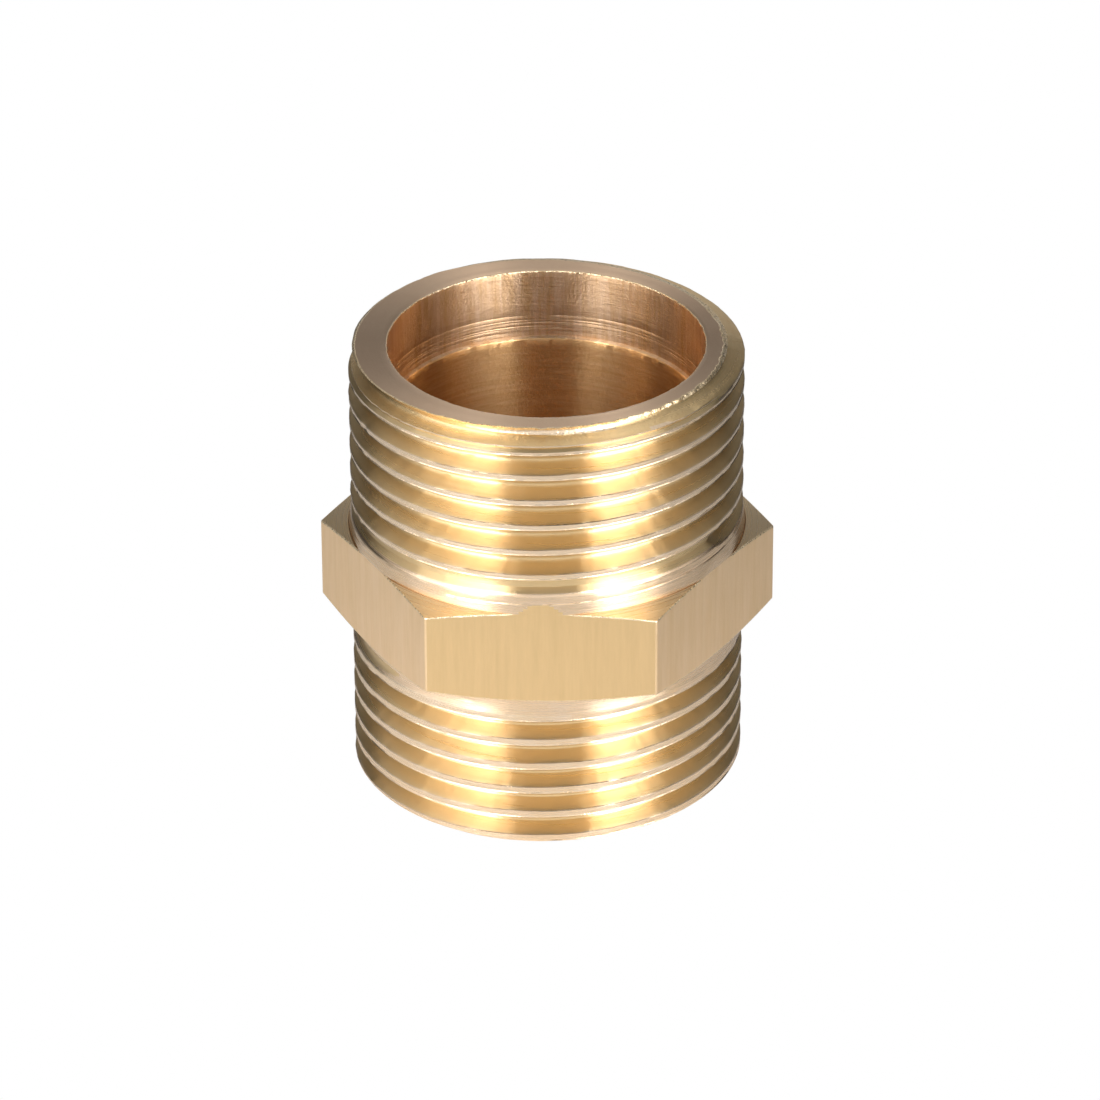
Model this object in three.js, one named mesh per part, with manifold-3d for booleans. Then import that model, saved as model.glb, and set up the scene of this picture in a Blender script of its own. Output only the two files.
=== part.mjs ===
// Hex nipple: a short pipe fitting with a male parallel pipe thread at each end and a spanner hexagon
// between them. The real object is one piece, turned and threaded from a hexagonal brass bar, so it is
// made here the same way: turn the bar, then cut the two threads.
// Millimetres. The origin is the centre of the lower end face, and +Z points up the bore.

import * as THREE from "three";
import { ParametricGeometry } from "three/addons/geometries/ParametricGeometry.js";
import { mergeVertices } from "three/addons/utils/BufferGeometryUtils.js";
import Module from "manifold-3d";

// Lengths along the bore.
const LOWER_LENGTH = 10.7;
const HEX_HEIGHT = 6.5;
const UPPER_LENGTH = 13.05;
const HEX_BOTTOM = LOWER_LENGTH;
const HEX_TOP = HEX_BOTTOM + HEX_HEIGHT;
const TOTAL_LENGTH = HEX_TOP + UPPER_LENGTH;

// The hexagon. A corner points along +X, so a flat faces -Y.
const ACROSS_FLATS = 26.0;
const CORNER_RADIUS = ACROSS_FLATS / Math.sqrt(3);
const HEX_TOP_CORNER_DROP = 0.4;
const HEX_BOTTOM_CORNER_DROP = 0.64;

// The collar between the upper thread and the hexagon, slightly wider at its foot than the flats.
const COLLAR_HEIGHT = 1.3;
const COLLAR_FOOT_RADIUS = 13.1;

// The threads: 14 turns to the inch, 55 degree flanks, flat crests, rounded roots.
const PITCH = 25.4 / 14;
const FLANK_SLOPE = Math.tan(THREE.MathUtils.degToRad(55 / 2));
const THREAD_RADIUS = 25.9 / 2;
const THREAD_DEPTH = 1.05;
const ROOT_HALF_WIDTH = 0.29;
const ROOT_ROUNDING_DEPTH = 0.18;
const END_CHAMFER = 0.4;

// The bore, with a slightly wider mouth in the upper end.
const BORE_RADIUS = 10.15;
const MOUTH_RADIUS = 10.4;
const MOUTH_DEPTH = 4.9;
const LOWER_BORE_CHAMFER = 0.2;

// Facets. The lathe's facets are turned by part of a step, so that their edges never lie exactly on
// the thread cutters' edges or on the hexagon's corners.
const STEPS_PER_TURN = 36;
const DEGREES_PER_STEP = 360 / STEPS_PER_TURN;
const LATHE_TURN = THREE.MathUtils.degToRad(0.65 * DEGREES_PER_STEP);

// How far a thread cutter stands outside the crest, and how far it runs past an end face.
const CUTTER_CLEARANCE = 0.2;
const CUTTER_OVERRUN = 1.0;

const BRASS = new THREE.MeshStandardMaterial({ color: 0xd2a765, roughness: 0.28, metalness: 1.0 });

const wasm = await Module();
wasm.setup();

// A closed geometry as a solid: equal points are merged, and triangles that shrank to a line go.
function toSolid(geometry) {
  const bare = geometry.clone();
  bare.deleteAttribute("normal");
  bare.deleteAttribute("uv");
  const merged = mergeVertices(bare, 1e-4);
  const kept = [];
  const index = merged.index.array;
  for (let i = 0; i < index.length; i += 3) {
    const [a, b, c] = [index[i], index[i + 1], index[i + 2]];
    if (a !== b && b !== c && c !== a) kept.push(a, b, c);
  }
  return new wasm.Manifold(
    new wasm.Mesh({
      numProp: 3,
      vertProperties: merged.attributes.position.array,
      triVerts: new Uint32Array(kept),
    }),
  );
}

function toGeometry(solid) {
  const mesh = solid.getMesh();
  const geometry = new THREE.BufferGeometry();
  geometry.setAttribute("position", new THREE.BufferAttribute(mesh.vertProperties, 3));
  geometry.setIndex(new THREE.BufferAttribute(mesh.triVerts, 1));
  geometry.computeVertexNormals();
  return geometry;
}

// Everything that the lathe cuts: bore, end faces, thread blanks, collar, and the hexagon's cones.
// The hexagon's corners lie inside the outermost radius, so the bar leaves the flats standing.
function turnedBody() {
  const endEdgeRadius = THREAD_RADIUS - END_CHAMFER;
  const topConeSlope = HEX_TOP_CORNER_DROP / (CORNER_RADIUS - COLLAR_FOOT_RADIUS);
  const bottomConeSlope = HEX_BOTTOM_CORNER_DROP / (CORNER_RADIUS - THREAD_RADIUS);
  const outermost = CORNER_RADIUS + 1;
  const outline = [
    [BORE_RADIUS + LOWER_BORE_CHAMFER, 0],
    [endEdgeRadius, 0],
    [THREAD_RADIUS, END_CHAMFER],
    [THREAD_RADIUS, HEX_BOTTOM],
    [outermost, HEX_BOTTOM + bottomConeSlope * (outermost - THREAD_RADIUS)],
    [outermost, HEX_TOP - topConeSlope * (outermost - COLLAR_FOOT_RADIUS)],
    [COLLAR_FOOT_RADIUS, HEX_TOP],
    [THREAD_RADIUS, HEX_TOP + COLLAR_HEIGHT],
    [THREAD_RADIUS, TOTAL_LENGTH - END_CHAMFER],
    [endEdgeRadius, TOTAL_LENGTH],
    [MOUTH_RADIUS, TOTAL_LENGTH],
    [MOUTH_RADIUS, TOTAL_LENGTH - MOUTH_DEPTH],
    [BORE_RADIUS, TOTAL_LENGTH - MOUTH_DEPTH],
    [BORE_RADIUS, LOWER_BORE_CHAMFER],
    [BORE_RADIUS + LOWER_BORE_CHAMFER, 0],
  ];
  const points = outline.map(([radius, height]) => new THREE.Vector2(radius, height));
  const geometry = new THREE.LatheGeometry(points, STEPS_PER_TURN, LATHE_TURN);
  geometry.rotateX(Math.PI / 2);
  return toSolid(geometry);
}

// The hexagonal bar, longer than the nipple at both ends.
function bar() {
  const corners = [];
  for (let corner = 0; corner < 6; corner += 1) {
    const angle = (corner * Math.PI) / 3;
    corners.push(new THREE.Vector2(CORNER_RADIUS * Math.cos(angle), CORNER_RADIUS * Math.sin(angle)));
  }
  const geometry = new THREE.ExtrudeGeometry(new THREE.Shape(corners), {
    depth: TOTAL_LENGTH + 2,
    bevelEnabled: false,
  });
  geometry.translate(0, 0, -1);
  return toSolid(geometry);
}

// The cutter's section around its own centre, as [distance from the axis, height], for a groove
// whose depth is the given share of the full depth.
function grooveSection(share) {
  const rootHalfWidth = ROOT_HALF_WIDTH * share;
  const flankDepth = (THREAD_DEPTH - ROOT_ROUNDING_DEPTH) * share;
  const outerHalfWidth = rootHalfWidth + (flankDepth + CUTTER_CLEARANCE) * FLANK_SLOPE;
  return [
    [THREAD_RADIUS + CUTTER_CLEARANCE, outerHalfWidth],
    [THREAD_RADIUS + CUTTER_CLEARANCE, -outerHalfWidth],
    [THREAD_RADIUS - flankDepth, -rootHalfWidth],
    [THREAD_RADIUS - THREAD_DEPTH * share, 0],
    [THREAD_RADIUS - flankDepth, rootHalfWidth],
  ];
}

// A right-hand helical cutter. Azimuths are in whole facet steps from the front (-Y), counted
// anticlockwise seen from above and over several turns. frontHeight is the groove's height at step 0,
// and share(step) is the groove's depth there as a share of the full depth.
function threadCutter({ frontHeight, firstStep, lastStep, share }) {
  const stations = lastStep - firstStep;
  const sides = grooveSection(1).length;
  const surface = (u, v, target) => {
    const row = Math.round(v * (stations + 2));
    const step = firstStep + THREE.MathUtils.clamp(row - 1, 0, stations);
    const section = grooveSection(share(step));
    const isCap = row === 0 || row === stations + 2;
    const point = section[Math.round(u * sides) % sides];
    const radius = isCap ? THREAD_RADIUS + CUTTER_CLEARANCE / 2 : point[0];
    const offset = isCap ? 0 : point[1];
    const azimuth = (step * 2 * Math.PI) / STEPS_PER_TURN;
    const height = frontHeight + (PITCH * step) / STEPS_PER_TURN + offset;
    target.set(radius * Math.sin(azimuth), -radius * Math.cos(azimuth), height);
  };
  return toSolid(new ParametricGeometry(surface, sides, stations + 2));
}

const stepAt = (degrees) => Math.round(degrees / DEGREES_PER_STEP);
const stepAtHeight = (height, frontHeight) =>
  Math.round(((height - frontHeight) / PITCH) * STEPS_PER_TURN);

// The upper thread starts in the top end face. Its full groove stops sharply on the front right
// quarter, just above the collar, and a shallow one runs out over the next stretch.
function upperThread() {
  const frontHeight = HEX_TOP + 3.6;
  const fullFrom = stepAt(-290);
  const shallowFrom = stepAt(-310);
  const endsAt = stepAt(-440);
  const shallowShare = 0.45;
  const lastShare = 0.15;
  const share = (step) => {
    if (step >= fullFrom) return 1;
    if (step >= shallowFrom)
      return THREE.MathUtils.mapLinear(step, shallowFrom, fullFrom, shallowShare, 1);
    return THREE.MathUtils.mapLinear(step, endsAt, shallowFrom, lastShare, shallowShare);
  };
  return threadCutter({
    frontHeight,
    firstStep: endsAt,
    lastStep: stepAtHeight(TOTAL_LENGTH + CUTTER_OVERRUN, frontHeight),
    share,
  });
}

// The lower thread starts in the lower end face and fades out close under the hexagon.
function lowerThread() {
  const frontHeight = HEX_BOTTOM - 0.42;
  const fullUpTo = stepAt(-120);
  const endsAt = stepAt(-20);
  const lastShare = 0.15;
  const share = (step) => {
    if (step <= fullUpTo) return 1;
    return THREE.MathUtils.mapLinear(step, fullUpTo, endsAt, 1, lastShare);
  };
  return threadCutter({
    frontHeight,
    firstStep: stepAtHeight(-CUTTER_OVERRUN, frontHeight),
    lastStep: endsAt,
    share,
  });
}

const bodySolid = turnedBody().intersect(bar()).subtract(upperThread()).subtract(lowerThread());

const body = new THREE.Mesh(toGeometry(bodySolid), BRASS);
body.name = "nipple_body";

const hexNipple = new THREE.Group();
hexNipple.add(body);

export default hexNipple;
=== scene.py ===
"""Looks of the hex nipple: one fine brass body that stands for the faceted CAD solid, in soft studio light.

The body is built as a skin of rows round the bore's axis. On the threads the rows follow the helix, so
every crest edge is a run of mesh edges. Inside the skin code lengths are in millimetres and azimuths in
degrees, counted from the front (-Y) towards +X; the finished mesh is in metres.
"""

import math

import bmesh
import bpy
import numpy as np
from mathutils import Matrix, Vector


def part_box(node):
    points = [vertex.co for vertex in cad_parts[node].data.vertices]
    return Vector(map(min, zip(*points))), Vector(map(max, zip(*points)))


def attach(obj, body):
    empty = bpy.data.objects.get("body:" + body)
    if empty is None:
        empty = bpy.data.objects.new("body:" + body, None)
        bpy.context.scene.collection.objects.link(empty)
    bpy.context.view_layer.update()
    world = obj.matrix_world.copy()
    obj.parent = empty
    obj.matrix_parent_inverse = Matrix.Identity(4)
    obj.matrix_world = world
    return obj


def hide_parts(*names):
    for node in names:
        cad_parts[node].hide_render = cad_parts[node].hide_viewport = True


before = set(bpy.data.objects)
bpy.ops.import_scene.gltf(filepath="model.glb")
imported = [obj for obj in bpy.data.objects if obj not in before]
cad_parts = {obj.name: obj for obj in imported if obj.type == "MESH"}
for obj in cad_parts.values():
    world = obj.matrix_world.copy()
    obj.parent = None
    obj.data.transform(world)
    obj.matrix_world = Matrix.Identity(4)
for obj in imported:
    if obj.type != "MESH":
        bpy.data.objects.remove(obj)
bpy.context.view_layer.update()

NODE = "nipple_body"
MM = 0.001

low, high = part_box(NODE)

# Sizes that the frame gives.
LENGTH = (high.z - low.z) / MM
ACROSS_FLATS = (high.y - low.y) / MM

# Heights above the lower end face.
HEX_BOTTOM = 10.7
HEX_TOP = 17.2
COLLAR_TOP = 18.5
LOWER_THREAD_TOP = 10.55

# Hexagon.
FLAT_RADIUS = ACROSS_FLATS / 2
CORNER_RADIUS = FLAT_RADIUS / math.cos(math.radians(30))
CORNER_ROUNDING = 0.22
EDGE_BEVEL = 0.085
TOP_CORNER_DROP = 0.4
BOTTOM_CORNER_DROP = 0.64
COLLAR_FOOT_RADIUS = 13.1
UNDERCUT = 0.13

# Threads. "front" is the height of one groove's middle at the front. An offset is a height above the
# middle of the nearest groove.
PITCH = 25.4 / 14
FLANK = math.radians(27.5)
CREST_RADIUS = 12.95
ENTRY_BEVEL_START = -0.86
ENTRY_BEVEL_END = -0.66
ENTRY_RIDGE = (-0.625, -0.47)
ENTRY_RIDGE_DEPTH = 0.20
UPPER = {
    "crest": CREST_RADIUS,
    "depth": 1.05,
    "land": 0.40,
    "front": HEX_TOP + 3.59,
    "extra_rows": (ENTRY_BEVEL_START, ENTRY_RIDGE[0] + 0.03),
}
LOWER = {
    "crest": CREST_RADIUS,
    "depth": 1.0,
    "land": 0.50,
    "front": HEX_BOTTOM - 0.42,
    "extra_rows": (),
}

# A helical row closer than this to a level row takes the level row's points.
SNAP = 0.012

# Azimuths counted along the upper helix, over all its turns: where the full groove ends above the
# collar, and the front of the last groove below the rim.
FULL_GROOVE_ENDS = -298.0
LAST_GROOVE = 1800.0

# Azimuths along the upper helix: nothing at the first, everything at the second. The entry's are counted
# from the front of the last groove.
ENTRY_FADES_IN = (-200.0, -150.0)
ENTRY_FADES_OUT = (75.0, 45.0)
RUNOUT_FADES_IN = (-520.0, -430.0)

# Azimuths along the lower helix, between which the groove turns shallow and then runs out.
LOWER_TURNS_SHALLOW = (-130.0, -35.0)
LOWER_RUNS_OUT = (40.0, 66.0)

# Share of its depth that the lower groove loses where it turns shallow.
SHALLOWING = 0.94

# The end of the full upper groove is tongue-shaped: how far its sides lag behind its middle in degrees,
# the offset at which they do, and half the length over which it blends into the shallow groove.
TONGUE_LAG = 5.0
TONGUE_OFFSET = 0.7
TONGUE_BLEND = 5.0

ENTRY_BEVEL_SLOPE = 1.45

# Torn metal along the upper edge of each land: half width, height and how much that varies.
BURR_HALF_WIDTH = 0.05
BURR_HEIGHT = 0.014
BURR_VARIES = 0.028

# The line that the tool leaves along each land: height above the land's lower edge, half width, depth
# and how much that varies.
LAND_LINE_RISE = 0.085
LINE_HALF_WIDTH = 0.03
LINE_DEPTH = 0.032
LINE_VARIES = 0.02

# Edges of the two ends. The rim's chamfer is larger at +X and smaller at -X by the shift.
TOP_CHAMFER = 0.5
CHAMFER_SHIFT = 0.13
BOTTOM_CHAMFER = 0.08

# Heights of the level rows above the lower end face, and above the hexagon.
LOWER_EDGE_ROWS = (0.05, 0.1, 0.15, 0.2, 0.25)
COLLAR_ROWS = (0.02, 0.2, 0.4, 0.6)

# Depths of the level rows under the upper end face, and of the notch where the groove leaves the side.
ENTRY_ROWS = (0.6, 0.55, 0.49)
RIM_ROWS = (0.42, 0.35, 0.28, 0.2)
NOTCH = 0.07

# Small dents: azimuth, height, half width in degrees, half height and depth.
NICKS = (
    (-64.0, 26.85, 1.3, 0.22, 0.10),
    (72.0, 28.3, 1.3, 0.30, 0.09),
    (-22.0, 10.2, 1.6, 0.12, 0.06),
    (38.0, 27.35, 1.2, 0.10, 0.05),
    (-41.0, 7.9, 1.3, 0.12, 0.06),
    (14.0, 23.75, 1.2, 0.10, 0.05),
    (55.0, 21.9, 1.3, 0.12, 0.06),
    (127.0, 24.5, 1.6, 0.20, 0.07),
    (-150.0, 6.1, 1.6, 0.20, 0.07),
)

# Bore.
BORE_RADIUS = 10.15
MOUTH_RADIUS = 10.4
MOUTH_DEPTH = 4.9
MOUTH_RING_DEPTHS = (3.3, 3.62, 3.8, 4.08, 4.22, 4.5)
INNER_CHAMFER = 0.25

# Material slots of the body's mesh.
TURNED, LAND, GROOVE, ENTRY, RIM, FLATS, FRONT_FLAT, CONES, BURR, END_FACE, MOUTH, BORE = range(12)

# A turned face that lies deeper under the crests than this counts as cut by the thread.
LEAST_CUT = 0.1
LEAST_CUT_AT_ENTRY = 0.04

# Azimuth beyond which the rim's chamfer looks like the thread's entry.
RIM_HALF_WIDTH = 24.0

# Points closer than the first distance are merged, and edges shorter than the second are dissolved.
# An edge that bends by more than the angle is drawn sharp.
MERGE_DISTANCE = 0.002
SHORTEST_EDGE = 0.001
SHARP_ANGLE = 32.0


def smooth(value):
    value = np.clip(value, 0.0, 1.0)
    return value * value * (3.0 - 2.0 * value)


def fade(value, start, end):
    """0 at start, 1 at end, smooth between them; start may be the larger."""
    return smooth((value - start) / (end - start))


def noise(position, cell, seed):
    """Smooth noise from -1 to 1 along a line, with one random value for each cell."""
    values = np.random.default_rng(seed).uniform(-1.0, 1.0, 4096)
    scaled = np.asarray(position, float) / cell
    whole = np.floor(scaled).astype(int)
    part = smooth(scaled - whole)
    return values[whole % 4096] * (1 - part) + values[(whole + 1) % 4096] * part


def at_height(height):
    """The same height in every column."""
    return np.full_like(AZIMUTH, height)


def columns():
    """Azimuths of the skin's columns, closer together at the hexagon's corners, at 30 + 60 k."""
    corner_steps = np.array([-1.4, -0.95, -0.62, -0.38, -0.19, 0.0, 0.19, 0.38, 0.62, 0.95, 1.4])
    plain = np.arange(-180.0, 180.0, 1.25)
    to_corner = np.abs(plain % 60.0 - 30.0)
    plain = plain[to_corner > 1.9]
    corners = [60.0 * k - 150.0 + corner_steps for k in range(6)]
    return np.sort(np.concatenate([plain, *corners]))


AZIMUTH = columns()
RADIANS = np.radians(AZIMUTH)


class Skin:
    """Points and faces of a surface swept round the axis, one row of columns after another."""

    def __init__(self):
        self.points = []
        self.faces = []
        self.slots = []
        self.row = None

    def add_points(self, radius, height, azimuth=AZIMUTH):
        radius = np.broadcast_to(radius, azimuth.shape)
        height = np.broadcast_to(height, azimuth.shape)
        angle = np.radians(azimuth)
        first = sum(len(block) for block in self.points)
        block = np.column_stack([radius * np.sin(angle), -radius * np.cos(angle), height])
        self.points.append(block)
        return np.arange(first, first + len(block))

    def add_face(self, corners, slot):
        kept = []
        for corner in corners:
            if not kept or kept[-1] != corner:
                kept.append(corner)
        if len(kept) > 1 and kept[0] == kept[-1]:
            kept.pop()
        if len(kept) >= 3:
            self.faces.append(kept)
            self.slots.append(slot)

    def join(self, below, above, slot):
        right_below = np.roll(below, -1)
        right_above = np.roll(above, -1)
        for corners in zip(below.tolist(), right_below.tolist(), right_above.tolist(), above.tolist()):
            self.add_face(corners, slot)

    def ring(self, radius, height, slot):
        """Adds a row and joins it to the last one. Points that share a place are merged in tidy_mesh."""
        added = self.add_points(radius, height)
        if self.row is not None:
            self.join(self.row, added, slot)
        self.row = added

    def close(self, first, slot):
        self.join(self.row, first, slot)

    def coordinates(self):
        return np.concatenate(self.points)


def hexagon_radius():
    """Distance from the axis to the hexagon in each column, with its six upright edges rounded."""
    off_flat = np.radians((AZIMUTH + 30.0) % 60.0 - 30.0)
    flat = FLAT_RADIUS / np.cos(off_flat)
    off_corner = np.abs(np.radians(30.0) - np.abs(off_flat))
    centre = CORNER_RADIUS - CORNER_ROUNDING / math.cos(math.radians(30))
    across = centre * np.sin(off_corner)
    inside = np.sqrt(np.maximum(CORNER_ROUNDING**2 - across**2, 0.0))
    rounded = centre * np.cos(off_corner) + inside
    touches = off_corner < math.atan2(CORNER_ROUNDING * 0.5, CORNER_RADIUS - CORNER_ROUNDING * 0.29)
    return np.where(touches, np.minimum(rounded, flat), flat)


def groove_depth(offset, thread):
    """Depth below the crest at a height offset from the groove's middle, for one full groove."""
    half_width = (PITCH - thread["land"]) / 2
    depth = thread["depth"]
    tangent = math.tan(FLANK)
    rounding = (half_width - tangent * depth) / (math.cos(FLANK) - tangent * (1 - math.sin(FLANK)))
    side = np.abs(offset)
    flank = np.maximum(half_width - side, 0.0) / tangent
    root = depth - rounding + np.sqrt(np.maximum(rounding**2 - side**2, 0.0))
    return np.where(side < rounding * math.cos(FLANK), root, flank)


def runout_depth(offset, thread):
    """Depth of the shallow groove past the end of the upper thread: a long bevel below, a flank above."""
    half_width = (PITCH - thread["land"]) / 2
    bevel_foot = -0.43
    root_depth = 0.44
    bevel = offset - bevel_foot
    flank = (half_width - offset) / math.tan(FLANK)
    return np.maximum(np.minimum(np.minimum(bevel, flank), root_depth), 0.0)


def groove_place(height, thread):
    """The nearest groove's offset and the azimuth counted along the helix over all turns."""
    middle = thread["front"] + PITCH * AZIMUTH / 360.0
    turn = np.round((height - middle) / PITCH)
    return height - middle - turn * PITCH, AZIMUTH + 360.0 * turn


def near_entry(along):
    """1 along the stretch of the last land that is bevelled, 0 away from it."""
    azimuth = along - LAST_GROOVE
    return fade(azimuth, *ENTRY_FADES_OUT) * fade(azimuth, *ENTRY_FADES_IN)


def entry_bevel(offset, along):
    """Depth of the bevel on the last land below the end face."""
    bevel = ENTRY_BEVEL_SLOPE * (offset - ENTRY_BEVEL_START)
    on_bevel = (offset > ENTRY_BEVEL_START) & (offset < ENTRY_BEVEL_END + 0.04)
    return np.where(on_bevel, bevel * near_entry(along), 0.0)


def entry_ridge(depth, offset, along):
    """Lifts the torn ridge that stands between the bevel and the last groove."""
    on_ridge = (offset > ENTRY_RIDGE[0]) & (offset < ENTRY_RIDGE[1])
    lifted = ENTRY_RIDGE_DEPTH + 0.03 * noise(along, 1.9, 61)
    share = np.where(on_ridge, near_entry(along), 0.0)
    return depth + (np.minimum(lifted, depth) - depth) * share


def crest_burr(offset, along, thread, seed):
    """Torn metal along the upper edge of each land, raised by up to a few hundredths."""
    edge = -(PITCH - thread["land"]) / 2
    near = np.exp(-(((offset - edge) / BURR_HALF_WIDTH) ** 2))
    torn = 0.5 * noise(along, 1.6, seed) + 0.5 * noise(along, 4.3, seed + 1)
    return near * (BURR_HEIGHT + BURR_VARIES * torn)


def land_line(offset, along, thread, seed):
    """Depth of the shallow line that the tool leaves along each land, near its lower edge."""
    middle = (PITCH - thread["land"]) / 2 + LAND_LINE_RISE
    near = np.exp(-(((offset - middle) / LINE_HALF_WIDTH) ** 2))
    return near * (LINE_DEPTH + LINE_VARIES * noise(along, 2.3, seed))


def nicks(height):
    """Depth of a few small dents in the threads and the neck."""
    total = 0.0
    for azimuth, middle, width, tall, depth in NICKS:
        sideways = (AZIMUTH - azimuth) / width
        upwards = (height - middle) / tall
        total = total + depth * np.exp(-(sideways**2) - upwards**2)
    return total


def edge_wander(along, seed):
    """The small sideways wander of a groove along its helix."""
    return 0.008 * noise(along, 3.0, seed) + 0.006 * noise(along, 1.4, seed + 1)


def collar_taper(height):
    """How far the collar's slight cone stands out over the crests of the upper thread."""
    widest = COLLAR_FOOT_RADIUS - UPPER["crest"]
    return widest * np.clip((COLLAR_TOP - height) / (COLLAR_TOP - HEX_TOP), 0.0, 1.0)


def upper_radius(height):
    offset, along = groove_place(height, UPPER)
    offset = offset + edge_wander(along, 13)
    full = groove_depth(offset, UPPER)
    shallow = runout_depth(offset, UPPER) * fade(along, *RUNOUT_FADES_IN)
    tongue = FULL_GROOVE_ENDS + TONGUE_LAG * (offset / TONGUE_OFFSET) ** 2
    depth = full + (shallow - full) * fade(along, tongue + TONGUE_BLEND, tongue - TONGUE_BLEND)
    depth = entry_ridge(np.maximum(depth, entry_bevel(offset, along)), offset, along)
    top_chamfer = TOP_CHAMFER + CHAMFER_SHIFT * np.sin(RADIANS)
    chamfer = np.clip(top_chamfer - (LENGTH - height), 0.0, None)
    chamfer = chamfer * (1.0 - 0.5 * (depth / UPPER["depth"]) ** 2)
    raised = crest_burr(offset, along, UPPER, 11)
    cut = depth + chamfer + land_line(offset, along, UPPER, 15) + nicks(height)
    radius = UPPER["crest"] + collar_taper(height) - cut + raised
    return np.where(height < COLLAR_TOP + 0.2, np.minimum(radius, hexagon_radius()), radius)


def lower_radius(height):
    offset, along = groove_place(height, LOWER)
    offset = offset + edge_wander(along, 25)
    share = 1.0 - SHALLOWING * fade(along, *LOWER_TURNS_SHALLOW)
    share = share * (1.0 - fade(along, *LOWER_RUNS_OUT))
    depth = groove_depth(offset, LOWER) * share
    chamfer = np.clip(BOTTOM_CHAMFER - height, 0.0, None)
    cut = depth + chamfer + land_line(offset, along, LOWER, 27) + nicks(height)
    return LOWER["crest"] - cut + crest_burr(offset, along, LOWER, 23)


def stations(thread):
    """Offsets from the groove's middle at which a row runs along the helix, over one pitch."""
    half_width = (PITCH - thread["land"]) / 2
    side = [0.12, 0.235, 0.33, 0.5, half_width - 0.028, half_width + 0.02]
    land_line_row = half_width + LAND_LINE_RISE
    mirrored = [-offset for offset in side]
    return np.array(sorted([-PITCH / 2, 0.0, land_line_row, *mirrored, *side, *thread["extra_rows"]]))


def helix_bases(thread, bottom, top):
    """Heights at azimuth 0 of all the helical rows that may cross the space between bottom and top."""
    lowest_turn = math.floor((bottom - thread["front"]) / PITCH) - 2
    highest_turn = math.ceil((top - thread["front"]) / PITCH) + 2
    steps = stations(thread)
    turns = range(lowest_turn, highest_turn)
    bases = np.concatenate([thread["front"] + PITCH * turn + steps for turn in turns])
    climb_to_last = PITCH * (AZIMUTH[0] + 360.0) / 360.0
    first = np.searchsorted(bases, bottom - climb_to_last - SNAP) - 1
    return bases[first:]


def join_helix(skin, lines, per_pitch, end, slot):
    """Joins each helical row to the next. Past the last column a row goes on as the one a pitch higher."""

    def after_last_column(k):
        return lines[k + per_pitch][0] if k + per_pitch < len(lines) else end[0]

    for k in range(len(lines) - 1):
        here, above = lines[k], lines[k + 1]
        for i in range(len(AZIMUTH) - 1):
            skin.add_face([here[i], here[i + 1], above[i + 1], above[i]], slot)
        skin.add_face([here[-1], after_last_column(k), after_last_column(k + 1), above[-1]], slot)


def thread_rows(skin, thread, radius_at, bottom, top, slot):
    """Fills the skin between two level rows with rows that follow the helix."""
    below = skin.row
    end = skin.add_points(radius_at(at_height(top)), top)
    lines = []
    for base in helix_bases(thread, bottom, top):
        height = base + PITCH * AZIMUTH / 360.0
        inside = (height > bottom + SNAP) & (height < top - SNAP)
        radius = radius_at(np.clip(height, bottom, top))
        line = np.where(height >= top - SNAP, end, below)
        if inside.any():
            line[inside] = skin.add_points(radius[inside], height[inside], AZIMUTH[inside])
        lines.append(line)
    join_helix(skin, lines, len(stations(thread)), end, slot)
    skin.row = end


def turned_ring(skin, height, radius_at, slot=TURNED):
    """A level row at the radius that radius_at gives for its height."""
    skin.ring(radius_at(at_height(height)), height, slot)


def add_lower_thread(skin):
    """The edge of the lower end face, its chamfer and the lower thread. Returns the first row."""
    turned_ring(skin, 0.0, lower_radius)
    first_row = skin.row
    for height in LOWER_EDGE_ROWS:
        turned_ring(skin, height, lower_radius)
    thread_rows(skin, LOWER, lower_radius, LOWER_EDGE_ROWS[-1], LOWER_THREAD_TOP, TURNED)
    return first_row


def ragged_edge():
    """How far the hexagon's edges wander up and down, most on the front flat."""
    ragged = 0.012 * noise(AZIMUTH, 0.9, 31) + 0.012 * noise(AZIMUTH, 3.1, 32)
    return ragged * (0.35 + 0.65 * fade(np.abs(AZIMUTH), 34.0, 30.0))


def add_underside(skin, hexagon, ragged):
    """The neck's end and the hexagon's lower cone and edge. Returns the heights where the flats start."""
    neck = lower_radius(at_height(HEX_BOTTOM))
    slope = BOTTOM_CORNER_DROP / (CORNER_RADIUS - LOWER["crest"])
    edge = HEX_BOTTOM + (hexagon - LOWER["crest"]) * slope
    reach = np.minimum(hexagon - LOWER["crest"] - 0.01, EDGE_BEVEL)
    skin.ring(neck, HEX_BOTTOM, TURNED)
    for share in (0.5, 1.0):
        radius = neck + (hexagon - reach - neck) * share
        skin.ring(radius, HEX_BOTTOM + (radius - LOWER["crest"]).clip(0) * slope, CONES)
    for share in (0.35, 0.7):
        left = (1 - share) ** 2
        height = edge - reach * slope * left + EDGE_BEVEL * (share * share) + ragged * share
        skin.ring(hexagon - reach * left, height, BURR)
    flats_start = edge + EDGE_BEVEL + ragged
    skin.ring(hexagon, flats_start, BURR)
    return flats_start


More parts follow.
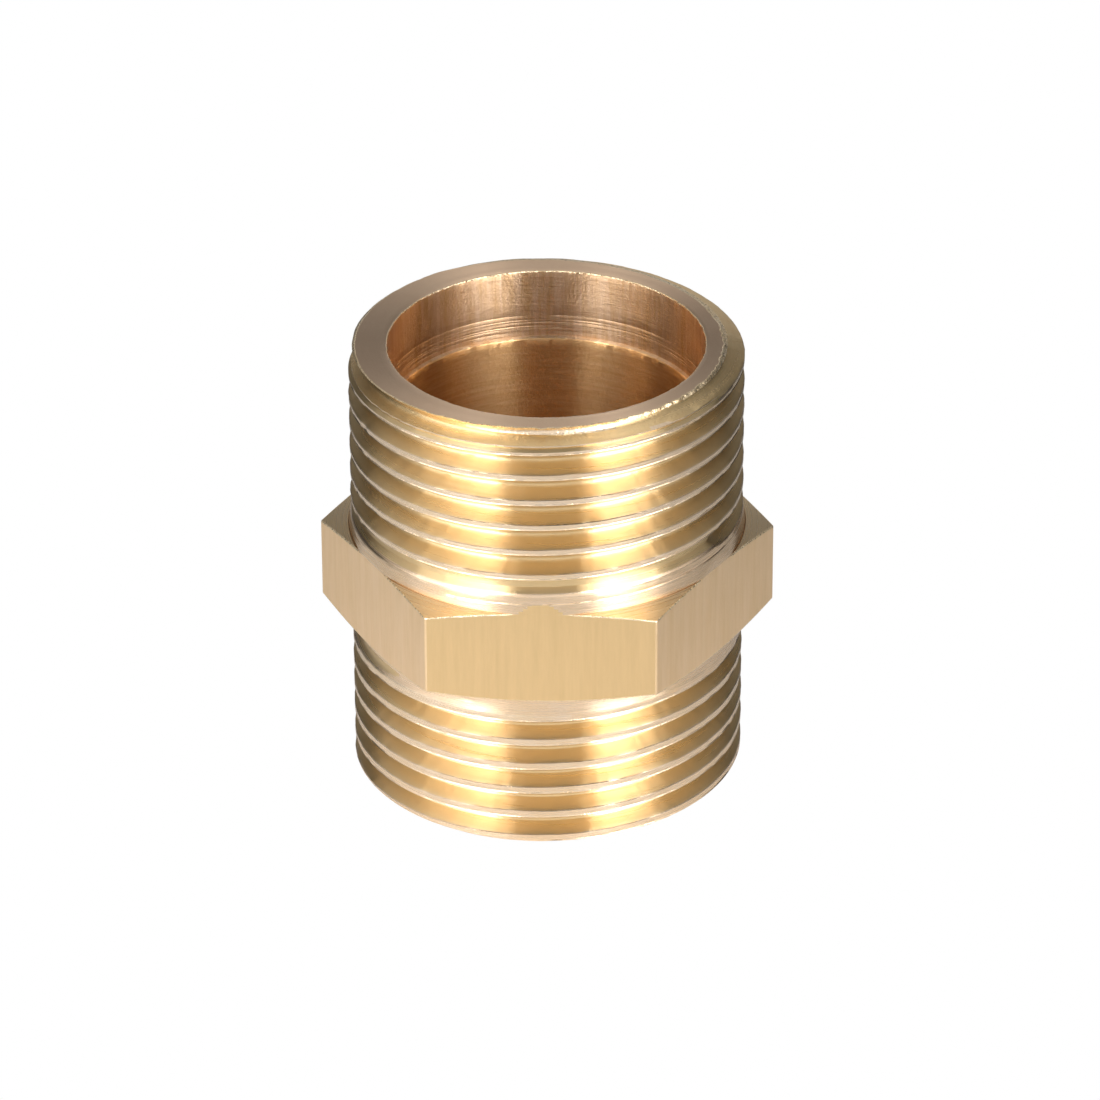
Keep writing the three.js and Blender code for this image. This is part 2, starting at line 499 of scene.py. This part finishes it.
def add_flats(skin, hexagon, ragged, flats_start):
    """The flats, their broken upper edges, the upper cone and the undercut at the collar's foot."""
    slope = TOP_CORNER_DROP / (CORNER_RADIUS - COLLAR_FOOT_RADIUS)
    on_cone = hexagon > COLLAR_FOOT_RADIUS
    top_edge = np.where(on_cone, HEX_TOP - (hexagon - COLLAR_FOOT_RADIUS) * slope, HEX_TOP)
    inset = np.clip(hexagon - COLLAR_FOOT_RADIUS, 0.0, EDGE_BEVEL)
    flats_end = top_edge - inset + ragged
    for share in (0.04, 0.25, 0.5, 0.75, 0.96, 1.0):
        skin.ring(hexagon, flats_start + (flats_end - flats_start) * share, FLATS)
    edge_radius = hexagon - inset
    edge_height = top_edge + inset * slope
    for share in (0.35, 0.7, 1.0):
        climbed = 1 - (1 - share) ** 2
        skin.ring(hexagon - inset * share**2, flats_end + (edge_height - flats_end) * climbed, BURR)
    foot = np.minimum(COLLAR_FOOT_RADIUS, edge_radius)
    for share in (0.5, 1.0):
        radius = edge_radius + (foot + 0.05 - edge_radius).clip(None, 0.0) * share
        height = np.where(on_cone, HEX_TOP - (radius - COLLAR_FOOT_RADIUS) * slope, edge_height)
        skin.ring(radius, height, CONES)
    undercut = np.minimum(UNDERCUT, (hexagon - COLLAR_FOOT_RADIUS).clip(0.0))
    skin.ring(foot, HEX_TOP - undercut, CONES)


def add_upper_thread(skin):
    """The collar and the upper thread, up to the start of the rim's chamfer, whose height it returns."""
    for rise in COLLAR_ROWS:
        turned_ring(skin, HEX_TOP + rise, upper_radius)
    chamfer_start = LENGTH - TOP_CHAMFER - CHAMFER_SHIFT - 0.03
    thread_rows(skin, UPPER, upper_radius, HEX_TOP + COLLAR_ROWS[-1], chamfer_start, TURNED)
    return chamfer_start


def add_rim(skin, chamfer_start):
    """A notch along the open end of the groove, the chamfer, and its torn edge, whose radii it returns."""
    cut = UPPER["crest"] - upper_radius(at_height(chamfer_start))
    in_groove = (cut / UPPER["depth"]).clip(0.0, 1.0) ** 2
    first, notched, last = (LENGTH - depth for depth in ENTRY_ROWS)
    turned_ring(skin, first, upper_radius, ENTRY)
    skin.ring(upper_radius(at_height(notched)) - NOTCH * in_groove, notched, ENTRY)
    turned_ring(skin, last, upper_radius, ENTRY)
    for depth in RIM_ROWS:
        turned_ring(skin, LENGTH - depth, upper_radius, RIM)
    torn = fade(np.abs(AZIMUTH - 40.0), 90.0, 60.0)
    torn_edge = (0.015 + 0.08 * torn) * noise(AZIMUTH, 1.5, 41) + 0.02 * noise(AZIMUTH, 4.0, 42)
    edge = upper_radius(at_height(LENGTH)) + torn_edge
    skin.ring(upper_radius(at_height(LENGTH - 0.12)) + 0.7 * torn_edge, LENGTH - 0.12, BURR)
    skin.ring(edge, LENGTH - 0.03, BURR)
    skin.ring(edge - 0.05, LENGTH, BURR)
    return edge


def add_upper_face(skin, edge):
    """The upper end face, with a burr round the mouth of the bore."""
    face_start = edge - 0.09
    mouth = MOUTH_RADIUS + 0.025 * noise(AZIMUTH, 1.5, 51) + 0.015 * noise(AZIMUTH, 4.0, 52)
    skin.ring(face_start, LENGTH, BURR)
    for share in (0.25, 0.5, 0.75, 1.0):
        skin.ring(face_start + (mouth + 0.07 - face_start) * share, LENGTH, END_FACE)
    skin.ring(mouth + 0.02, LENGTH - 0.02, BURR)
    skin.ring(mouth, LENGTH - 0.09, BURR)


def add_mouth(skin):
    """The wider mouth of the bore, its tool rings and the ledge at its foot."""
    for depth in (0.5, 1.4, 2.4):
        skin.ring(MOUTH_RADIUS, LENGTH - depth, MOUTH)
    for number, ring_depth in enumerate(MOUTH_RING_DEPTHS):
        cut = 0.012 + 0.014 * noise(AZIMUTH, 14.0, 81 + number)
        skin.ring(MOUTH_RADIUS, LENGTH - ring_depth + 0.04, MOUTH)
        skin.ring(MOUTH_RADIUS + cut.clip(0.0), LENGTH - ring_depth, MOUTH)
        skin.ring(MOUTH_RADIUS, LENGTH - ring_depth - 0.04, MOUTH)
    ledge_wander = 0.035 * noise(AZIMUTH, 1.7, 71) + 0.02 * noise(AZIMUTH, 7.0, 72)
    skin.ring(MOUTH_RADIUS - 0.5 * ledge_wander, LENGTH - MOUTH_DEPTH + 0.09, MOUTH)
    skin.ring(BORE_RADIUS + 0.05 + ledge_wander, LENGTH - MOUTH_DEPTH - 0.02, MOUTH)


def add_bore(skin):
    """The long lower part of the bore, with a broken edge at the lower end face."""
    skin.ring(BORE_RADIUS, LENGTH - MOUTH_DEPTH - 0.1, BORE)
    for height in np.linspace(LENGTH - MOUTH_DEPTH - 0.6, 0.9, 8):
        skin.ring(BORE_RADIUS, height, BORE)
    skin.ring(BORE_RADIUS, 0.25, BORE)
    skin.ring(BORE_RADIUS + 0.03, 0.2, BORE)
    skin.ring(BORE_RADIUS + 0.2, 0.02, BORE)


def add_lower_face(skin, first_row):
    """The lower end face, joined to the first row, which closes the skin."""
    inner = BORE_RADIUS + INNER_CHAMFER
    outer = lower_radius(at_height(0.0))
    skin.ring(inner, 0.0, END_FACE)
    for share in (0.25, 0.5, 0.75):
        skin.ring(inner + (outer - inner) * share, 0.0, END_FACE)
    skin.close(first_row, END_FACE)


def build_body():
    """The whole skin, from the lower outer edge up the outside, over the rim and down the bore."""
    skin = Skin()
    hexagon = hexagon_radius()
    ragged = ragged_edge()
    first_row = add_lower_thread(skin)
    flats_start = add_underside(skin, hexagon, ragged)
    add_flats(skin, hexagon, ragged, flats_start)
    chamfer_start = add_upper_thread(skin)
    edge = add_rim(skin, chamfer_start)
    add_upper_face(skin, edge)
    add_mouth(skin)
    add_bore(skin)
    add_lower_face(skin, first_row)
    return skin


def sort_slots(skin):
    """Gives the threads' faces their slots: lands at the crests, grooves below them, and the thread's
    entry under the rim. The front flat, with its tongue up into the collar, and the rim's sides get
    theirs too."""
    points = skin.coordinates()
    height = points[:, 2]
    below_crest = CREST_RADIUS - np.hypot(points[:, 0], points[:, 1])
    azimuth = np.degrees(np.arctan2(points[:, 0], -points[:, 1]))
    threaded = (height < LOWER_THREAD_TOP - 0.9) | (height > COLLAR_TOP + 0.3)
    last_offset = height - PITCH * (azimuth + LAST_GROOVE) / 360.0 - UPPER["front"]
    on_front = (points[:, 1] < 0.002 - FLAT_RADIUS) & (height > HEX_BOTTOM) & (height < COLLAR_TOP)
    for index, corners in enumerate(skin.faces):
        # The front flat's own slot carries a painted reflection: a deeper gold than the other five flats,
        # for the floor that it faces.
        if skin.slots[index] in (TURNED, FLATS) and on_front[corners].all():
            skin.slots[index] = FRONT_FLAT
        if skin.slots[index] == RIM and abs(azimuth[corners].mean()) > RIM_HALF_WIDTH:
            skin.slots[index] = ENTRY
        if skin.slots[index] != TURNED:
            continue
        offset = last_offset[corners].mean()
        least = LEAST_CUT_AT_ENTRY if offset > ENTRY_BEVEL_START else LEAST_CUT
        if below_crest[corners].mean() > least:
            on_ridge = ENTRY_RIDGE[0] < offset < ENTRY_RIDGE[1]
            above = ENTRY if offset > ENTRY_RIDGE[1] else GROOVE
            skin.slots[index] = LAND if on_ridge else above
        elif threaded[corners].all():
            skin.slots[index] = LAND


def tidy_mesh(mesh):
    """Merges points that share a place, drops faces with no area, and points every face outwards."""
    work = bmesh.new()
    work.from_mesh(mesh)
    bmesh.ops.remove_doubles(work, verts=work.verts, dist=MERGE_DISTANCE * MM)
    bmesh.ops.dissolve_degenerate(work, edges=work.edges, dist=SHORTEST_EDGE * MM)
    bmesh.ops.recalc_face_normals(work, faces=work.faces)
    work.to_mesh(mesh)
    work.free()


def make_body():
    skin = build_body()
    sort_slots(skin)
    mesh = bpy.data.meshes.new("hex_nipple_brass")
    mesh.from_pydata((skin.coordinates() * MM).tolist(), [], skin.faces)
    mesh.polygons.foreach_set("material_index", np.array(skin.slots, np.int32))
    mesh.polygons.foreach_set("use_smooth", np.ones(len(mesh.polygons), bool))
    tidy_mesh(mesh)
    mesh.set_sharp_from_angle(angle=math.radians(SHARP_ANGLE))
    body = bpy.data.objects.new("hex_nipple_brass", mesh)
    bpy.context.scene.collection.objects.link(body)
    return body


body = make_body()
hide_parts(NODE)
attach(body, "root")


# Materials ------------------------------------------------------------------------------------------

def new_material(name):
    material = bpy.data.materials.new(name)
    material.use_nodes = True
    nodes = material.node_tree.nodes
    nodes.clear()
    output = nodes.new("ShaderNodeOutputMaterial")
    shader = nodes.new("ShaderNodeBsdfPrincipled")
    material.node_tree.links.new(shader.outputs["BSDF"], output.inputs["Surface"])
    return material, nodes, material.node_tree.links, shader


# Most values of a noise texture lie between these two.
NOISE_LOW = 0.3
NOISE_HIGH = 0.7


def stretched_noise(nodes, links, scale, detail=2.0, roughness=0.5):
    """Noise over the object's own coordinates, stretched by a different scale along x, y and z."""
    coordinates = nodes.new("ShaderNodeTexCoord")
    mapping = nodes.new("ShaderNodeMapping")
    mapping.inputs["Scale"].default_value = scale
    texture = nodes.new("ShaderNodeTexNoise")
    texture.inputs["Scale"].default_value = 1.0
    texture.inputs["Detail"].default_value = detail
    texture.inputs["Roughness"].default_value = roughness
    links.new(coordinates.outputs["Object"], mapping.inputs["Vector"])
    links.new(mapping.outputs["Vector"], texture.inputs["Vector"])
    return texture.outputs["Fac"]


def radial_noise(nodes, links, scale):
    """Noise in rings round the axis, for a turned end face."""
    coordinates = nodes.new("ShaderNodeTexCoord")
    flatten = nodes.new("ShaderNodeVectorMath")
    flatten.operation = "MULTIPLY"
    flatten.inputs[1].default_value = (1.0, 1.0, 0.0)
    length = nodes.new("ShaderNodeVectorMath")
    length.operation = "LENGTH"
    texture = nodes.new("ShaderNodeTexNoise")
    texture.noise_dimensions = "1D"
    texture.inputs["Scale"].default_value = scale
    texture.inputs["Detail"].default_value = 2.0
    links.new(coordinates.outputs["Object"], flatten.inputs[0])
    links.new(flatten.outputs["Vector"], length.inputs[0])
    links.new(length.outputs["Value"], texture.inputs["W"])
    return texture.outputs["Fac"]


def ranged(nodes, links, value, low, high, from_low=NOISE_LOW, from_high=NOISE_HIGH):
    """Turns the range from from_low to from_high into the one from low to high."""
    node = nodes.new("ShaderNodeMapRange")
    node.inputs["From Min"].default_value = from_low
    node.inputs["From Max"].default_value = from_high
    node.inputs["To Min"].default_value = low
    node.inputs["To Max"].default_value = high
    links.new(value, node.inputs["Value"])
    return node.outputs["Result"]


def two_tones(nodes, links, value, first, second):
    """The first colour at the noise's low values, the second at its high ones."""
    ramp = nodes.new("ShaderNodeValToRGB")
    ramp.color_ramp.elements[0].position = NOISE_LOW
    ramp.color_ramp.elements[0].color = (*first, 1.0)
    ramp.color_ramp.elements[1].position = NOISE_HIGH
    ramp.color_ramp.elements[1].color = (*second, 1.0)
    links.new(value, ramp.inputs["Fac"])
    return ramp.outputs["Color"]


def bumped(nodes, links, height, distance, under=None):
    node = nodes.new("ShaderNodeBump")
    node.inputs["Distance"].default_value = distance
    links.new(height, node.inputs["Height"])
    if under is not None:
        links.new(under, node.inputs["Normal"])
    return node.outputs["Normal"]


# Stretches of noise: its scale along x, y and z, or one scale for rings round the axis.
BLOTCHES = (260.0, 260.0, 420.0)
LATHE_LINES = (60.0, 60.0, 9000.0)
DRAWN_LINES = (5000.0, 5000.0, 60.0)
STREAKS = (1600.0, 1600.0, 130.0)
BORE_LINES = (400.0, 400.0, 9000.0)
CHATTER = (3800.0, 3800.0, 300.0)
REAMED = (350.0, 350.0, 4200.0)
SPECKS = (5000.0, 5000.0, 5000.0)
GRAIN = (5500.0, 5500.0, 5500.0)
CONE_RINGS = 6000.0
FACE_RINGS = 5000.0

# Depth of the chatter marks as a share of the tool marks' depth.
CHATTER_SHARE = 0.3

# Rotation of the highlight's stretch.
ALONG = 0.25
AROUND = 0.0


def brass(name, tones, roughness, anisotropy, rotation, marks, mark_depth, grain_depth,
          blotches=BLOTCHES, chatter=None):
    """Bare brass. tones is a pair of colours, roughness a range, and the depths are in millimetres. marks,
    blotches and chatter are stretches: of the tool marks, the patches of tone and a second set of marks."""
    material, nodes, links, shader = new_material(name)
    shader.inputs["Metallic"].default_value = 1.0
    shader.inputs["Anisotropic"].default_value = anisotropy
    shader.inputs["Anisotropic Rotation"].default_value = rotation
    tangent = nodes.new("ShaderNodeTangent")
    tangent.direction_type = "RADIAL"
    tangent.axis = "Z"
    links.new(tangent.outputs["Tangent"], shader.inputs["Tangent"])
    patches = stretched_noise(nodes, links, blotches, detail=8.0, roughness=0.75)
    links.new(two_tones(nodes, links, patches, *tones), shader.inputs["Base Color"])
    if isinstance(marks, tuple):
        lines = stretched_noise(nodes, links, marks, detail=3.0, roughness=0.65)
    else:
        lines = radial_noise(nodes, links, marks)
    links.new(ranged(nodes, links, lines, *roughness), shader.inputs["Roughness"])
    grain = stretched_noise(nodes, links, GRAIN, detail=3.0)
    normal = bumped(nodes, links, grain, grain_depth * MM)
    if chatter is not None:
        across = stretched_noise(nodes, links, chatter, detail=2.0)
        normal = bumped(nodes, links, across, CHATTER_SHARE * mark_depth * MM, under=normal)
    links.new(bumped(nodes, links, lines, mark_depth * MM, under=normal), shader.inputs["Normal"])
    return material


SILVERY = (0.88, 0.72, 0.56)
PALE = (0.86, 0.67, 0.44)
GOLD = (0.86, 0.64, 0.355)
OLIVE = (0.79, 0.59, 0.32)
ROSE = (0.74, 0.52, 0.35)
PINK = (0.80, 0.58, 0.40)
DULL = (0.68, 0.38, 0.15)
BRONZE = (0.88, 0.59, 0.30)
DEEP_GOLD = (0.82, 0.57, 0.28)
# The next two tones are for the front flat, the one facing the camera. Their deeper gold than the other
# flats is a painted reflection of the floor in front of it.
FRONT_REFLECTION_PALE = (0.86, 0.61, 0.32)
FRONT_REFLECTION_DEEP = (0.78, 0.55, 0.28)
RUST = (0.58, 0.35, 0.16)
WARM = (0.86, 0.66, 0.48)
HONEY = (0.84, 0.61, 0.38)
BRIGHT = (0.96, 0.80, 0.58)
MILKY = (0.87, 0.70, 0.53)
WHEAT = (0.84, 0.64, 0.42)
SAND = (0.85, 0.60, 0.33)
BLUSH = (0.95, 0.70, 0.455)

# In the order of the slots above.
for material in (
    brass("brass_turned", (WARM, HONEY), (0.20, 0.34), 0.75, ALONG, LATHE_LINES, 0.003, 0.005),
    brass("brass_land", (MILKY, WHEAT), (0.20, 0.36), 0.5, ALONG, LATHE_LINES, 0.006, 0.020),
    brass("brass_groove", (GOLD, OLIVE), (0.26, 0.33), 1.0, ALONG, LATHE_LINES, 0.002, 0.006),
    brass("brass_entry", (DEEP_GOLD, OLIVE), (0.24, 0.38), 0.9, ALONG, LATHE_LINES, 0.007, 0.022),
    brass("brass_rim", (SILVERY, PALE), (0.22, 0.38), 0.6, ALONG, LATHE_LINES, 0.006, 0.025),
    brass("brass_flats", (SAND, BLUSH), (0.30, 0.42), 0.5, AROUND, DRAWN_LINES, 0.006, 0.008,
          blotches=STREAKS),
    # Painted reflection: the front flat has the flats' finish in a deeper gold, for the floor in front of
    # it.
    brass("brass_front_flat_painted_reflection", (FRONT_REFLECTION_PALE, FRONT_REFLECTION_DEEP), (0.30, 0.42), 0.5, AROUND, DRAWN_LINES, 0.006, 0.008,
          blotches=STREAKS),
    brass("brass_cones", (GOLD, PALE), (0.25, 0.38), 0.9, ALONG, CONE_RINGS, 0.002, 0.004),
    brass("brass_burr", (BRIGHT, GOLD), (0.20, 0.42), 0.0, AROUND, SPECKS, 0.060, 0.030),
    brass("brass_end_face", (PINK, ROSE), (0.28, 0.36), 0.95, ALONG, FACE_RINGS, 0.006, 0.010),
    brass("brass_mouth", (PINK, RUST), (0.30, 0.44), 0.94, ALONG, BORE_LINES, 0.014, 0.018,
          blotches=STREAKS, chatter=CHATTER),
    brass("brass_bore", (BRONZE, DULL), (0.28, 0.36), 0.96, ALONG, SPECKS, 0.0, 0.012,
          blotches=REAMED),
):
    body.data.materials.append(material)


# Floor, light and camera ----------------------------------------------------------------------------

CAMERA_AZIMUTH = 1.87
CAMERA_ELEVATION = 29.02
CAMERA_DISTANCE = 0.443
CAMERA_ROLL = -0.23
CAMERA_AIM = (0.00019, 0.0, 0.01477)
VIEW_ANGLE = 9.417

# The floor's colour is a painted pool of light: brightest at its centre, in front of the object and to its
# left, and darker with the distance from it.
FLOOR_REACH = 6.0
FLOOR_LIGHT_CENTRE = (-0.020, -0.024, 0.0)
FLOOR_PAINTED_LIGHT = (0.73, 0.03)
FLOOR_DARKENS = (0.02, 0.15)
FLOOR_ROUGHNESS = 0.35

SOFTBOX_DISTANCE = 0.6
SOFTBOX_HEIGHT = 0.60
SOFTBOX_RADIANCE = 8.0

# Share of a softbox's width, along its own X, past which its brightness changes, and the brightness at
# its outer side.
SOFTBOX_CHANGES_FROM = 0.25
SOFTBOX_OUTER_SHARE = 0.15

# The dark studio and its pale patches: azimuth, elevation, inner and outer angle, brightness.
WORLD_LEVEL = 0.06
WORLD_LOBES = (
    (180.0, 64.0, 10.0, 30.0, 1.0),
    (180.0, -5.0, 12.0, 28.0, 0.8),
    (180.0, 30.0, 15.0, 45.0, 0.22),
    (-98.0, 42.0, 12.0, 34.0, 0.75),
    (98.0, 42.0, 12.0, 34.0, 0.35),
    (2.0, -5.0, 15.0, 55.0, 1.55),
    (-72.0, -5.0, 10.0, 32.0, 1.7),
    (72.0, -5.0, 10.0, 32.0, 1.5),
    (2.0, 50.0, 12.0, 32.0, 0.2),
)


def direction(azimuth, elevation):
    """Unit vector from the object, with the azimuth counted from the front towards +X."""
    a, e = math.radians(azimuth), math.radians(elevation)
    return Vector((math.sin(a) * math.cos(e), -math.cos(a) * math.cos(e), math.sin(e)))


def seen_by_camera(nodes):
    return nodes.new("ShaderNodeLightPath").outputs["Is Camera Ray"]


def make_floor():
    """Board that is pale near the object and darker further out. The camera itself sees it evenly white."""
    mesh = bpy.data.meshes.new("floor")
    reach = FLOOR_REACH
    corners = [(-reach, -reach, 0.0), (reach, -reach, 0.0), (reach, reach, 0.0), (-reach, reach, 0.0)]
    mesh.from_pydata(corners, [], [(0, 1, 2, 3)])
    floor = bpy.data.objects.new("floor", mesh)
    bpy.context.scene.collection.objects.link(floor)
    material, nodes, links, shader = new_material("floor_painted_light")
    coordinates = nodes.new("ShaderNodeTexCoord")
    distance = nodes.new("ShaderNodeVectorMath")
    distance.operation = "DISTANCE"
    distance.inputs[1].default_value = FLOOR_LIGHT_CENTRE
    links.new(coordinates.outputs["Object"], distance.inputs[0])
    # Painted pool of light: the floor's colour fades with the distance from a point in front of the object
    # and to its left, and the brass reflects it. The camera itself sees the floor evenly white.
    light_pool = ranged(nodes, links, distance.outputs["Value"], *FLOOR_PAINTED_LIGHT, *FLOOR_DARKENS)
    colour = nodes.new("ShaderNodeCombineColor")
    for channel in ("Red", "Green", "Blue"):
        links.new(light_pool, colour.inputs[channel])
    links.new(colour.outputs["Color"], shader.inputs["Base Color"])
    shader.inputs["Roughness"].default_value = FLOOR_ROUGHNESS
    white = nodes.new("ShaderNodeEmission")
    white.inputs["Strength"].default_value = 1.0
    mix = nodes.new("ShaderNodeMixShader")
    links.new(seen_by_camera(nodes), mix.inputs["Fac"])
    links.new(shader.outputs["BSDF"], mix.inputs[1])
    links.new(white.outputs["Emission"], mix.inputs[2])
    output = next(node for node in nodes if node.type == "OUTPUT_MATERIAL")
    links.new(mix.outputs["Shader"], output.inputs["Surface"])
    mesh.materials.append(material)


def softbox(name, azimuth, elevation, width):
    """A rectangular light that faces the object and dims from its inner to its outer side. Its azimuth is
    counted from the camera's."""
    light = bpy.data.lights.new(name, "AREA")
    light.shape = "RECTANGLE"
    light.size = width
    light.size_y = SOFTBOX_HEIGHT
    light.energy = SOFTBOX_RADIANCE * math.pi * width * SOFTBOX_HEIGHT
    light.use_nodes = True
    nodes, links = light.node_tree.nodes, light.node_tree.links
    emission = next(node for node in nodes if node.type == "EMISSION")
    across = nodes.new("ShaderNodeSeparateXYZ")
    links.new(nodes.new("ShaderNodeNewGeometry").outputs["Parametric"], across.inputs["Vector"])
    shares = (1.0, SOFTBOX_OUTER_SHARE) if azimuth > 0.0 else (SOFTBOX_OUTER_SHARE, 1.0)
    strength = ranged(nodes, links, across.outputs["X"], *shares, SOFTBOX_CHANGES_FROM, 1.0)
    links.new(strength, emission.inputs["Strength"])
    lamp = bpy.data.objects.new(name, light)
    target = Vector((0.0, 0.0, LENGTH * MM / 2))
    lamp.location = target + SOFTBOX_DISTANCE * direction(CAMERA_AZIMUTH + azimuth, elevation)
    lamp.rotation_euler = (target - lamp.location).to_track_quat("-Z", "Y").to_euler()
    lamp.visible_camera = False
    bpy.context.scene.collection.objects.link(lamp)


def lobe(nodes, links, direction_output, centre, inner, outer):
    """1 within inner degrees of a direction in the world, 0 beyond outer degrees."""
    dot = nodes.new("ShaderNodeVectorMath")
    dot.operation = "DOT_PRODUCT"
    dot.inputs[1].default_value = centre
    links.new(direction_output, dot.inputs[0])
    near, far = math.cos(math.radians(inner)), math.cos(math.radians(outer))
    return ranged(nodes, links, dot.outputs["Value"], 0.0, 1.0, far, near)


def make_world():
    """Dark studio with soft pale patches behind, beside and in front of the object. The camera itself
    sees white."""
    world = bpy.data.worlds.new("studio")
    bpy.context.scene.world = world
    world.use_nodes = True
    nodes, links = world.node_tree.nodes, world.node_tree.links
    nodes.clear()
    output = nodes.new("ShaderNodeOutputWorld")
    background = nodes.new("ShaderNodeBackground")
    coordinates = nodes.new("ShaderNodeTexCoord")
    toward = coordinates.outputs["Generated"]
    strength = None
    for azimuth, elevation, inner, outer, level in WORLD_LOBES:
        centre = direction(azimuth, elevation)
        scaled = nodes.new("ShaderNodeMath")
        scaled.operation = "MULTIPLY_ADD"
        scaled.inputs[1].default_value = level
        scaled.inputs[2].default_value = WORLD_LEVEL
        links.new(lobe(nodes, links, toward, centre, inner, outer), scaled.inputs[0])
        if strength is not None:
            links.new(strength, scaled.inputs[2])
        strength = scaled.outputs["Value"]
    pick = nodes.new("ShaderNodeMix")
    pick.data_type = "FLOAT"
    pick.inputs["B"].default_value = 1.0
    links.new(seen_by_camera(nodes), pick.inputs["Factor"])
    links.new(strength, pick.inputs["A"])
    links.new(pick.outputs["Result"], background.inputs["Strength"])
    links.new(background.outputs["Background"], output.inputs["Surface"])


def make_camera():
    camera_data = bpy.data.cameras.new("camera")
    camera = bpy.data.objects.new("camera", camera_data)
    bpy.context.scene.collection.objects.link(camera)
    camera_data.sensor_width = 36.0
    camera_data.lens_unit = "FOV"
    camera_data.angle = math.radians(VIEW_ANGLE)
    camera_data.clip_start = 0.01
    aim = Vector(CAMERA_AIM)
    camera.location = aim + CAMERA_DISTANCE * direction(CAMERA_AZIMUTH, CAMERA_ELEVATION)
    look = (aim - camera.location).to_track_quat("-Z", "Y").to_matrix().to_4x4()
    roll = Matrix.Rotation(math.radians(CAMERA_ROLL), 4, "Z")
    camera.matrix_world = Matrix.Translation(camera.location) @ look @ roll
    bpy.context.scene.camera = camera


make_floor()
softbox("softbox_left", azimuth=-55.0, elevation=24.0, width=0.54)
softbox("softbox_right", azimuth=47.0, elevation=24.0, width=0.42)
make_world()
make_camera()

bpy.context.scene.view_settings.view_transform = "Standard"
